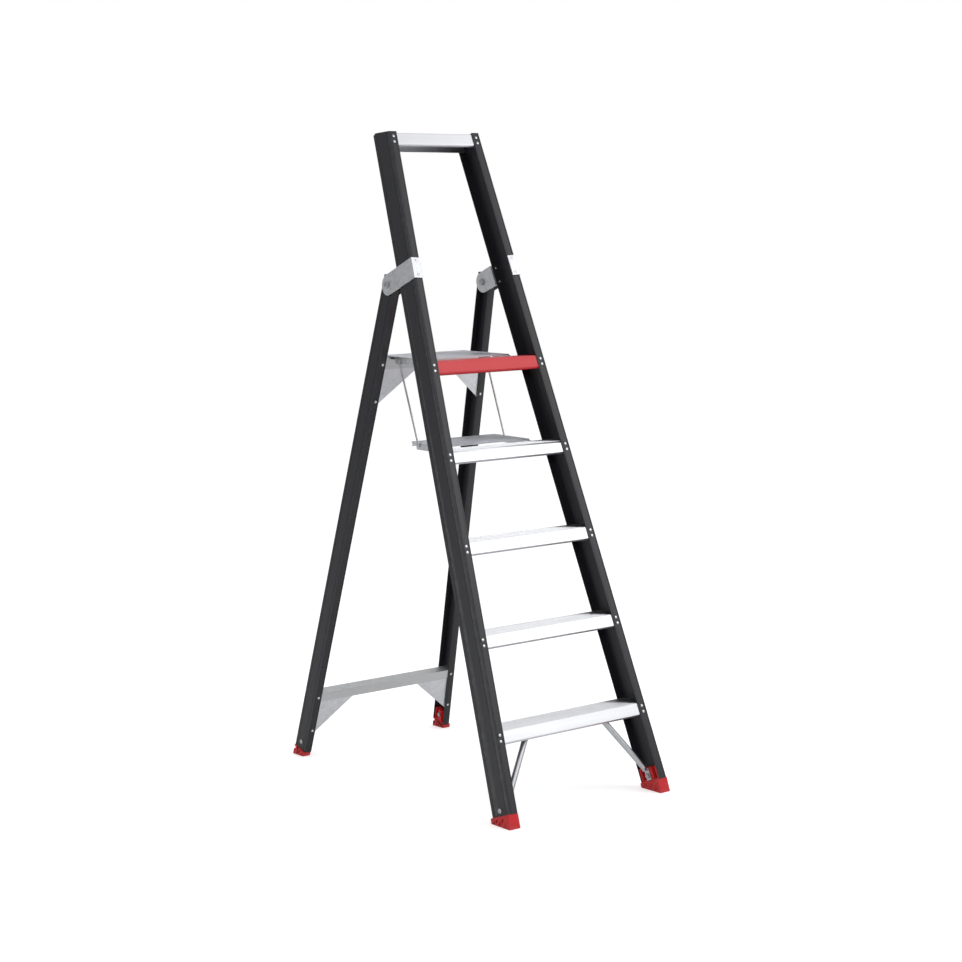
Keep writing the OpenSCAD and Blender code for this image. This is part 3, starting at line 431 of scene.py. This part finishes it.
def moulded(name, colour, deep, scuff_and_highlight):
    material, tree, shader, turned = start_finish(name)
    skin = noise(tree, turned, PEBBLE_SCALE, 3.0, 0.6)
    hands_and_top_shade = group_node(tree, HANDLING_AND_TOP_SHADE, Vector=turned)
    rub_and_highlight = group_node(tree, EDGE_RUB_AND_HIGHLIGHT, Vector=turned, Width=0.0016, Amount=0.5)
    height = add_node(tree, "ShaderNodeSeparateXYZ", {0: turned}).outputs["Z"]
    near_floor = remap(tree, height, SCUFF_HEIGHT, 0.0)
    body = mix_colour(tree, hands_and_top_shade.outputs["Blotch"], deep, colour)
    scuffed = math_node(tree, "MULTIPLY", near_floor, remap(tree, skin, 0.4, 0.7), clamp=True)
    body = tint(tree, scuffed, 0.35, body, scuff_and_highlight)
    # Edges in the pale colour: partly wear, partly a painted highlight.
    body = tint(tree, rub_and_highlight.outputs["Mask"], 0.6, body, scuff_and_highlight)
    tree.links.new(body, shader.inputs["Base Color"])
    tree.links.new(remap(tree, skin, 0.3, 0.7, 0.38, 0.52), shader.inputs["Roughness"])
    shader.inputs["Subsurface Weight"].default_value = 0.05
    shader.inputs["Subsurface Radius"].default_value = (0.002, 0.0006, 0.0006)
    bump(tree, shader, skin, 0.25, 0.0003)
    return material


foot_plastic = moulded("red_plastic", colour=(0.64, 0.014, 0.018), deep=(0.50, 0.009, 0.012),
                       scuff_and_highlight=(0.70, 0.22, 0.22))
nylon = moulded("dark_nylon", colour=(0.05, 0.05, 0.055), deep=(0.035, 0.035, 0.04),
                scuff_and_highlight=(0.2, 0.2, 0.2))
print("made", foot_plastic.name, nylon.name)

# %% [markdown]
# Hinge plates, gussets and brackets are zinc coated steel sheet. Rods, pins and bolts are
# plated too, but drawn or turned, so they get smaller patches and a brighter face.

# %% Finish: zinc coated steel
def zinc(name, light, dark, patches, rough):
    material, tree, shader, turned = start_finish(name)
    patch = group_node(tree, SPANGLE, Vector=turned, Scale=patches).outputs["Patch"]
    hands_and_top_shade = group_node(tree, HANDLING_AND_TOP_SHADE, Vector=turned)
    rub_and_highlight = group_node(tree, EDGE_RUB_AND_HIGHLIGHT, Vector=turned, Width=0.0010, Amount=0.6)
    sheet = mix_colour(tree, patch, dark, light)
    sheet = tint(tree, hands_and_top_shade.outputs["Blotch"], 0.3, sheet, darker(dark, 0.8))
    # The edges are painted near white, partly as wear and partly as a painted highlight.
    sheet = mix_colour(tree, rub_and_highlight.outputs["Mask"], sheet, (0.92, 0.92, 0.93))
    tree.links.new(sheet, shader.inputs["Base Color"])
    spread = remap(tree, patch, 0.0, 1.0, *rough)
    spread = duller(tree, spread, hands_and_top_shade.outputs["Blotch"], 0.08)
    tree.links.new(spread, shader.inputs["Roughness"])
    shader.inputs["Metallic"].default_value = 1.0
    bump(tree, shader, hands_and_top_shade.outputs["Blotch"], 0.05, 0.0004)
    return material


sheet_zinc = zinc("zinc_sheet", light=(0.78, 0.79, 0.81), dark=(0.67, 0.68, 0.70),
                  patches=110.0, rough=(0.38, 0.48))
bolt_zinc = zinc("zinc_turned", light=(0.58, 0.58, 0.59), dark=(0.46, 0.46, 0.47),
                 patches=500.0, rough=(0.24, 0.34))
print("made", sheet_zinc.name, bolt_zinc.name)

# %% [markdown]
# The record names a slot for every part. This table turns a slot into a finish; the two
# frames lean opposite ways, so the legs take their own version of the black coat.

# %% Give every part its finish
FINISH = {
    "black_coated_aluminium": black_front,
    "bare_aluminium": tread_metal,
    "red_coated_aluminium": red_tread,
    "red_plastic": foot_plastic,
    "deck_aluminium": deck_metal,
    "brace_aluminium": brace_metal,
    "sheet_steel": sheet_zinc,
    "zinc_steel": bolt_zinc,
    "rivet_aluminium": rivet_metal,
    "dark_nylon": nylon,
}


def finish_for(node):
    if node.startswith("rear_leg"):
        return black_rear
    if node.startswith("foot_brace_") and "rivet" not in node:
        return strut_metal
    return FINISH[SLOT_OF[node]]


def set_material(piece, material):
    piece.data.materials.clear()
    piece.data.materials.append(material)


for name, node in NODES.items():
    set_material(node, finish_for(name))
print("finished", len(NODES), "parts")

# %% [markdown]
# ## New pieces
# A new piece is shaped in a bmesh, then becomes an object at the origin that rides on the
# same body as the part it stands for. These helpers do that, and read the separate solids
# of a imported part, so that a formed rivet goes exactly where its plain one is.

# %% Helpers for new pieces
def make_piece(bm, name, nodes, material, smooth_angle=35.0):
    """Turns a bmesh into a piece that rides with, and stands for, the given nodes."""
    mesh = bpy.data.meshes.new(name)
    bm.normal_update()
    bm.to_mesh(mesh)
    bm.free()
    mesh.shade_smooth()
    mesh.set_sharp_from_angle(angle=math.radians(smooth_angle))
    piece = bpy.data.objects.new(name, mesh)
    bpy.context.scene.collection.objects.link(piece)
    set_material(piece, material)
    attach(piece, BODY_OF[nodes[0]])
    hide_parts(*nodes)
    return piece


def merged(node):
    """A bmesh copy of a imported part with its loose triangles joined."""
    bm = bmesh.new()
    bm.from_mesh(NODES[node].data)
    bmesh.ops.remove_doubles(bm, verts=bm.verts, dist=2e-6)
    return bm


def solids_of(node):
    """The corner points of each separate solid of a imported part."""
    bm = merged(node)
    left = set(bm.verts)
    solids = []
    while left:
        group = [left.pop()]
        for vert in group:
            for edge in vert.link_edges:
                other = edge.other_vert(vert)
                if other in left:
                    left.remove(other)
                    group.append(other)
        solids.append([v.co.copy() for v in group])
    bm.free()
    return sorted(solids, key=lambda s: tuple(round(c, 4) for c in s[0]))


def along_axis(points, axis):
    """Centre of the points across the axis, and their reach along it."""
    centre = sum(points, Vector()) / len(points)
    reach = [(p - centre).dot(axis) for p in points]
    across = [p - axis * (p - centre).dot(axis) for p in points]
    low = Vector(min(p[i] for p in across) for i in range(3))
    high = Vector(max(p[i] for p in across) for i in range(3))
    middle = (low + high) / 2
    shift = (middle - centre).dot(axis)
    return middle, min(reach) - shift, max(reach) - shift


def radius_at(points, middle, axis, place, slack):
    """Largest distance from the axis among points near a place along it."""
    best = 0.0
    for p in points:
        step = (p - middle).dot(axis)
        if abs(step - place) < slack:
            best = max(best, ((p - middle) - axis * step).length)
    return best


def spun(bm, profile, place, axis, steps=24):
    """Spins a profile of [radius, height] round an axis and adds it to the bmesh."""
    part = bmesh.new()
    verts = [part.verts.new((r, 0, h)) for r, h in profile]
    for a, b in zip(verts, verts[1:]):
        part.edges.new((a, b))
    bmesh.ops.spin(part, geom=part.verts[:] + part.edges[:], cent=(0, 0, 0), axis=(0, 0, 1),
                   angle=math.tau, steps=steps, use_merge=True)
    bmesh.ops.remove_doubles(part, verts=part.verts, dist=1e-6)
    bmesh.ops.recalc_face_normals(part, faces=part.faces)
    join(bm, part, place, axis)


def join(bm, part, place, axis):
    """Stands a part, made along Z, at a place along an axis, and adds it to the bmesh."""
    turn = Vector((0, 0, 1)).rotation_difference(axis).to_matrix().to_4x4()
    bmesh.ops.transform(part, matrix=Matrix.Translation(place) @ turn, verts=part.verts)
    mesh = bpy.data.meshes.new("part")
    part.to_mesh(mesh)
    part.free()
    bm.from_mesh(mesh)
    bpy.data.meshes.remove(mesh)


print("helpers for new pieces ready")

# %% [markdown]
# A blind rivet has a shallow domed head with a rolled rim, and a small hole in the middle
# where its mandrel snapped off. One spun profile makes head, shank and the swollen tail. The
# head is at whichever end of the plain rivet is wider.

# %% Formed rivets
RIVET_SHANK_R = 2.38 * MM
RIVET_HEAD_H = 1.8 * MM
RIVET_TAIL_H = 1.4 * MM
RIVET_EYE_R = 1.1 * MM
RIVET_STEPS = 20
END_SLACK = 1.9 * MM


def quarter_turns(count):
    """Angles from 0 to 90 degrees in equal steps."""
    return [math.radians(90 * k / count) for k in range(count + 1)]


def rivet_profile(head_r, tail_r, length):
    """Profile from the head's middle, at height 0, to the tail's middle."""
    head_h, tail_h, eye = RIVET_HEAD_H, RIVET_TAIL_H, RIVET_EYE_R
    points = [(0, 0.75 * MM), (eye * 0.8, 0.75 * MM), (eye, 0.2 * MM)]
    points += [(eye + (head_r - eye) * math.sin(turn), head_h * 0.8 * (1 - math.cos(turn)))
               for turn in quarter_turns(6)]
    points += [(head_r, head_h * 0.93), (head_r - 0.15 * MM, head_h), (RIVET_SHANK_R, head_h)]
    points += [(RIVET_SHANK_R, length - tail_h), (tail_r * 0.9, length - tail_h),
               (tail_r, length - tail_h * 0.6), (tail_r * 0.8, length - 0.15 * tail_h), (0, length)]
    return points


def rivets(node, axis):
    bm = bmesh.new()
    solids = solids_of(node)
    for points in solids:
        middle, low, high = along_axis(points, axis)
        first = radius_at(points, middle, axis, low, END_SLACK)
        last = radius_at(points, middle, axis, high, END_SLACK)
        way = axis if first > last else -axis
        start = middle + axis * (low if first > last else high)
        profile = rivet_profile(max(first, last), min(first, last), high - low)
        spun(bm, profile, start, way, RIVET_STEPS)
    piece = make_piece(bm, node + "_formed", [node], rivet_metal)
    print("rivets", node, len(solids), "faces", len(piece.data.polygons))
    return piece


for node_name in ("tread_rivets", "hinge_plate_rivets", "foot_brace_rivets", "bracket_rivets"):
    rivets(node_name, FRONT_DEPTH)
rivets("rear_rivets", REAR_DEPTH)

# %% [markdown]
# The rivets of each panel show only their heads, because the panel hides the rest, so a small
# dome is enough. They stand square to the panel, whose widest flat face gives the direction.

# %% Rivet heads of the panels
def panel_up(node):
    """The direction square to a panel, from its widest flat face."""
    bm = merged(node)
    widest = max((f for f in bm.faces if f.normal.z > 0.9), key=lambda f: f.calc_area())
    up = widest.normal.copy()
    bm.free()
    return up


def panel_heads(node, up):
    bm = bmesh.new()
    for points in solids_of(node):
        middle, low, high = along_axis(points, up)
        r = radius_at(points, middle, up, high, 0.3 * MM)
        h = high - low
        dome = [(r * math.sin(turn), h * 0.85 * (1 - math.cos(turn))) for turn in quarter_turns(6)]
        spun(bm, dome + [(r, h), (0, h)], middle + up * low, up, RIVET_STEPS)
    return make_piece(bm, node + "_formed", [node], rivet_metal)


for node_name, panel in (("platform_rivets", "platform_panel"), ("flap_rivets", "flap_panel")):
    piece = panel_heads(node_name, panel_up(panel))
    print("heads", piece.name, len(piece.data.polygons))

# %% [markdown]
# Bolts and nuts: a hexagon is a circle of six sides, extruded, with its outer corners bevelled
# off as a turned chamfer. The thread is a row of rings along the shank. Real threads wind, but
# at this size rings look the same and close cleanly.

# %% Shapes for bolts and nuts
HEX_CHAMFER = 0.7 * MM
THREAD_PITCH = 1.25 * MM
THREAD_DEPTH = 0.55 * MM


def hexagon(bm, radius, height, place, axis):
    part = bmesh.new()
    bmesh.ops.create_circle(part, cap_ends=True, segments=6, radius=radius)
    grown = bmesh.ops.extrude_face_region(part, geom=part.faces[:])
    top = [g for g in grown["geom"] if isinstance(g, bmesh.types.BMVert)]
    bmesh.ops.translate(part, vec=(0, 0, height), verts=top)
    bmesh.ops.recalc_face_normals(part, faces=part.faces)
    rim = [e for e in part.edges if abs(e.verts[0].co.z - e.verts[1].co.z) < 1e-7]
    bmesh.ops.bevel(part, geom=rim, offset=HEX_CHAMFER, segments=2, profile=0.5,
                    affect="EDGES", material=-1)
    join(bm, part, place, axis)


def threaded(bm, radius, length, place, axis, thread_length):
    """A shank along the axis, plain at first and ringed with thread at its far end."""
    start = length - thread_length
    crest = radius - 0.03 * MM
    points = [(0, 0), (radius, 0), (radius, start)]
    for k in range(int(thread_length / THREAD_PITCH)):
        h = start + k * THREAD_PITCH
        points += [(radius - THREAD_DEPTH, h + 0.15 * THREAD_PITCH),
                   (crest, h + 0.5 * THREAD_PITCH), (crest, h + 0.6 * THREAD_PITCH)]
    points += [(radius - 0.9 * MM, length), (0, length)]
    spun(bm, points, place, axis)


def flange(bm, outer, inner, height, place, axis):
    """A thin round collar with a rolled outer edge; an inner radius of 0 leaves no hole."""
    spun(bm, [(inner, 0), (outer - 0.3 * MM, 0), (outer, 0.3 * MM), (outer, height * 0.6),
              (outer - 0.6 * MM, height), (inner, height), (inner, 0)], place, axis, 32)


print("bolt shapes ready")

# %% [markdown]
# The pivot bolts carry the fold between the two frames. Each lies along X, with a flanged
# head outside the hinge plate and its thread at the inner end, where the nut sits.

# %% Pivot bolts and nuts
PIVOT_HEAD_H = 6.0 * MM
PIVOT_COLLAR_R = 11.0 * MM
PIVOT_COLLAR_H = 1.5 * MM
PIVOT_HEX_R = 9.5 * MM
PIVOT_THREAD = 13 * MM
NUT_COLLAR_H = 1.2 * MM
NUT_HEX_R = 9.4 * MM
NUT_HEX_H = 3.8 * MM


def placed_solids(node):
    """Each solid's corner points, the direction away from the ladder's middle, and its reach."""
    for points in solids_of(node):
        out = Vector((math.copysign(1, points[0].x), 0, 0))
        yield points, out, *along_axis(points, out)


def pivot_bolts():
    bm = bmesh.new()
    for points, out, middle, low, high in placed_solids("pivot_bolts"):
        neck = high - PIVOT_HEAD_H
        shank = radius_at(points, middle, out, low, 0.5 * MM)
        threaded(bm, shank, neck - low, middle + out * neck, -out, PIVOT_THREAD)
        flange(bm, PIVOT_COLLAR_R, 0.0, PIVOT_COLLAR_H, middle + out * neck, out)
        hexagon(bm, PIVOT_HEX_R, PIVOT_HEAD_H - PIVOT_COLLAR_H,
                middle + out * (neck + PIVOT_COLLAR_H), out)
    return make_piece(bm, "pivot_bolts_formed", ["pivot_bolts"], bolt_zinc)


def pivot_nuts():
    bm = bmesh.new()
    for points, out, middle, low, high in placed_solids("pivot_nuts"):
        bore = min(((p - middle) - out * (p - middle).dot(out)).length for p in points)
        flange(bm, PIVOT_COLLAR_R, bore, NUT_COLLAR_H, middle + out * (high - NUT_COLLAR_H), out)
        spun(bm, [(bore, 0), (bore + 0.5 * MM, -0.01 * MM), (NUT_HEX_R, 0.5 * MM),
                  (NUT_HEX_R, NUT_HEX_H), (bore, NUT_HEX_H), (bore, 0)], middle + out * low, out, 6)
    return make_piece(bm, "pivot_nuts_formed", ["pivot_nuts"], bolt_zinc)


for piece in (pivot_bolts(), pivot_nuts()):
    print("formed", piece.name, len(piece.data.polygons))

# %% [markdown]
# Each foot is held by one round-headed bolt through the stile or leg and a nut inside. The
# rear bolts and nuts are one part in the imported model, so both are rebuilt together.

# %% Foot bolts and nuts
FOOT_BOLT_R = 4.0 * MM
FOOT_THREAD = 10 * MM
FOOT_HEAD_R = 7.6 * MM
FOOT_HEAD_H = 2.8 * MM
FOOT_NUT_R = 7.2 * MM
FOOT_NUT_H = 4.0 * MM
BEYOND_NUT = 2.0 * MM


def button_head(bm, radius, height, place, axis):
    """A low domed head with the rim of a socket for its key."""
    dome = [(0, height * 0.55), (radius * 0.30, height * 0.55)]
    dome += [(radius * (0.34 + 0.66 * math.sin(turn)), height * math.cos(turn))
             for turn in quarter_turns(6)]
    spun(bm, dome + [(0, 0)], place, axis, 28)


def foot_bolts(node, with_nut):
    bm = bmesh.new()
    for points, out, middle, low, high in placed_solids(node):
        neck = high - FOOT_HEAD_H
        threaded(bm, FOOT_BOLT_R, neck - low, middle + out * neck, -out, FOOT_THREAD)
        button_head(bm, FOOT_HEAD_R, FOOT_HEAD_H, middle + out * neck, out)
        if with_nut:
            hexagon(bm, FOOT_NUT_R, FOOT_NUT_H, middle + out * (low + BEYOND_NUT), out)
    return make_piece(bm, node + "_formed", [node], bolt_zinc)


def foot_nuts():
    bm = bmesh.new()
    for points, out, middle, low, high in placed_solids("front_foot_nuts"):
        hexagon(bm, FOOT_NUT_R, high - low, middle + out * low, out)
    return make_piece(bm, "front_foot_nuts_formed", ["front_foot_nuts"], bolt_zinc)


for piece in (foot_bolts("front_foot_bolts", with_nut=False), foot_nuts(),
              foot_bolts("rear_foot_bolts", with_nut=True)):
    print("formed", piece.name, len(piece.data.polygons))

# %% [markdown]
# ## Soft edges
# No real plate or moulding has a perfect edge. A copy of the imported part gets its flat
# triangles dissolved into whole faces, and its long sharp edges bevelled. The copy is used
# only if it is still closed and has kept its volume; a part that can't take a bevel stays.

# %% Bevel the sharp edges of a part
FLAT_WITHIN = math.radians(0.6)
SHARP_ABOVE = math.radians(28)
SHORTEST_IN_WIDTHS = 3.2
MOST_VOLUME_CHANGE = 0.04


def soften(node, width):
    bm = merged(node)
    full = bm.calc_volume()
    bmesh.ops.dissolve_limit(bm, angle_limit=FLAT_WITHIN, verts=bm.verts, edges=bm.edges)
    shortest = SHORTEST_IN_WIDTHS * width
    tight = {v for e in bm.edges if e.calc_length() < shortest for v in e.verts}
    edges = [e for e in bm.edges if len(e.link_faces) == 2 and e.calc_face_angle(0) > SHARP_ABOVE
             and tight.isdisjoint(e.verts)]
    bmesh.ops.bevel(bm, geom=edges, offset=width, segments=2, profile=0.5, affect="EDGES",
                    clamp_overlap=True, material=-1)
    closed = all(len(e.link_faces) == 2 for e in bm.edges)
    change = abs(bm.calc_volume() - full) / full
    if not edges or not closed or change > MOST_VOLUME_CHANGE:
        print("kept", node, "closed", closed, "edges", len(edges), "change", round(change, 4))
        bm.free()
        return None
    bmesh.ops.triangulate(bm, faces=[f for f in bm.faces if len(f.verts) > 4])
    piece = make_piece(bm, node + "_soft", [node], finish_for(node), smooth_angle=24.0)
    print("softened", node, "edges", len(edges), "change", round(change, 4))
    return piece


print("softening ready")

# %% [markdown]
# Each kind of part has its own softness: a moulded foot is roundest, and a drawn tread or a
# lip is nearly sharp. The widths are in millimetres, and the endings find the left and right
# parts and the numbered treads of each kind.

# %% Soften the plates, mouldings and bars
SOFT_WIDTH = {
    "front_foot": 0.9, "rear_foot": 0.8, "hinge_plate_outer": 0.7, "hinge_plate_inner": 0.7,
    "upper_gusset": 0.45, "lower_gusset": 0.45, "upper_brace": 0.45, "lower_brace": 0.45,
    "platform_bracket": 0.5, "flap_bracket": 0.5, "platform_arm": 0.6, "flap_arm": 0.6,
    "platform_rear_lip": 0.4, "flap_rear_lip": 0.4, "front_stile": 0.5, "rear_leg": 0.5,
    "tread": 0.4, "top_bar": 0.4,
}
ENDINGS = ("", "_left", "_right", "_1", "_2", "_3", "_4", "_5")
for stem, width in SOFT_WIDTH.items():
    for ending in ENDINGS:
        if stem + ending in NODES:
            soften(stem + ending, width * MM)

# %% [markdown]
# ## Studio
# The floor is one pale sheet. It lies just under the feet, and a faint glow that only the camera
# sees brings it up to the white of the backdrop, so that no horizon shows and the lights on the
# ladder stay as they are.

# %% Floor
FLOOR_HALF_SIZE = 14
FLOOR_DROP = 0.5 * MM
FLOOR_GLOW = 0.42


def camera_mix(tree, felt, seen):
    """The first shader for light that bounces, and the second for what the camera sees."""
    eye = add_node(tree, "ShaderNodeLightPath").outputs["Is Camera Ray"]
    wires = {0: eye, 1: felt.outputs[0], 2: seen.outputs[0]}
    return add_node(tree, "ShaderNodeMixShader", wires).outputs[0]


def add_floor():
    bm = bmesh.new()
    bmesh.ops.create_grid(bm, x_segments=1, y_segments=1, size=FLOOR_HALF_SIZE)
    mesh = bpy.data.meshes.new("floor")
    bm.to_mesh(mesh)
    bm.free()
    floor = bpy.data.objects.new("floor", mesh)
    floor.location.z = -FLOOR_DROP
    bpy.context.scene.collection.objects.link(floor)
    material, tree, shader, turned = start_finish("pale_floor")
    tone = mix_colour(tree, noise(tree, turned, 0.8, 2.0), (0.90, 0.90, 0.90), (0.93, 0.93, 0.93))
    tree.links.new(tone, shader.inputs["Base Color"])
    shader.inputs["Roughness"].default_value = 0.7
    shader.inputs["Specular IOR Level"].default_value = 0.1
    glow = add_node(tree, "ShaderNodeEmission", {"Color": (1, 1, 1, 1), "Strength": FLOOR_GLOW})
    lifted = add_node(tree, "ShaderNodeAddShader", {0: shader.outputs[0], 1: glow.outputs[0]})
    seen = camera_mix(tree, shader, lifted)
    tree.links.new(seen, tree.nodes["Material Output"].inputs["Surface"])
    set_material(floor, material)
    return floor


print("floor", add_floor().name)

# %% [markdown]
# A large soft light stands to the front right, where the treads' faces mirror it, a weaker one
# fills from the front left, and a faint one hangs above. The room is brighter above than at
# the sides, so that bare metal shows which way it faces, and the backdrop itself is plain
# white.

# %% Lights and surroundings
LIGHTS = {
    "key": dict(place=(2.3, -3.3, 2.7), aim=(0, -0.1, 0.9), size=3.0, power=50),
    "fill": dict(place=(-1.4, -5.0, 3.0), aim=(0, 0, 0.9), size=2.2, power=30),
    "top": dict(place=(0.3, 0.6, 5.0), aim=(0, 0, 0.9), size=4.0, power=8),
}
BACKDROP = 1.0
ROOM_LIGHT = 0.66
ROOM_SIDES = 0.42
ROOM_ABOVE = 1.45


def area_light(name, place, aim, size, power):
    data = bpy.data.lights.new(name, "AREA")
    data.shape = "RECTANGLE"
    data.size = data.size_y = size
    data.energy = power
    light = bpy.data.objects.new(name, data)
    light.location = place
    light.rotation_euler = (Vector(aim) - Vector(place)).to_track_quat("-Z", "Y").to_euler()
    bpy.context.scene.collection.objects.link(light)
    return light


def surroundings():
    world = bpy.data.worlds.new("studio")
    world.use_nodes = True
    bpy.context.scene.world = world
    tree = world.node_tree
    tree.nodes.clear()
    way = add_node(tree, "ShaderNodeTexCoord").outputs["Generated"]
    height = add_node(tree, "ShaderNodeSeparateXYZ", {0: way}).outputs["Z"]
    strength = remap(tree, height, 0.0, 1.0, ROOM_LIGHT * ROOM_SIDES, ROOM_LIGHT * ROOM_ABOVE)
    felt = add_node(tree, "ShaderNodeBackground",
                    {"Color": (0.985, 0.99, 1.0, 1), "Strength": strength})
    seen = add_node(tree, "ShaderNodeBackground", {"Color": (BACKDROP, BACKDROP, BACKDROP, 1)})
    add_node(tree, "ShaderNodeOutputWorld", {"Surface": camera_mix(tree, felt, seen)})


for name, settings in LIGHTS.items():
    area_light(name, **settings)
surroundings()
bpy.context.scene.view_settings.view_transform = "Standard"
bpy.context.scene.view_settings.look = "None"
print("lights", list(LIGHTS))
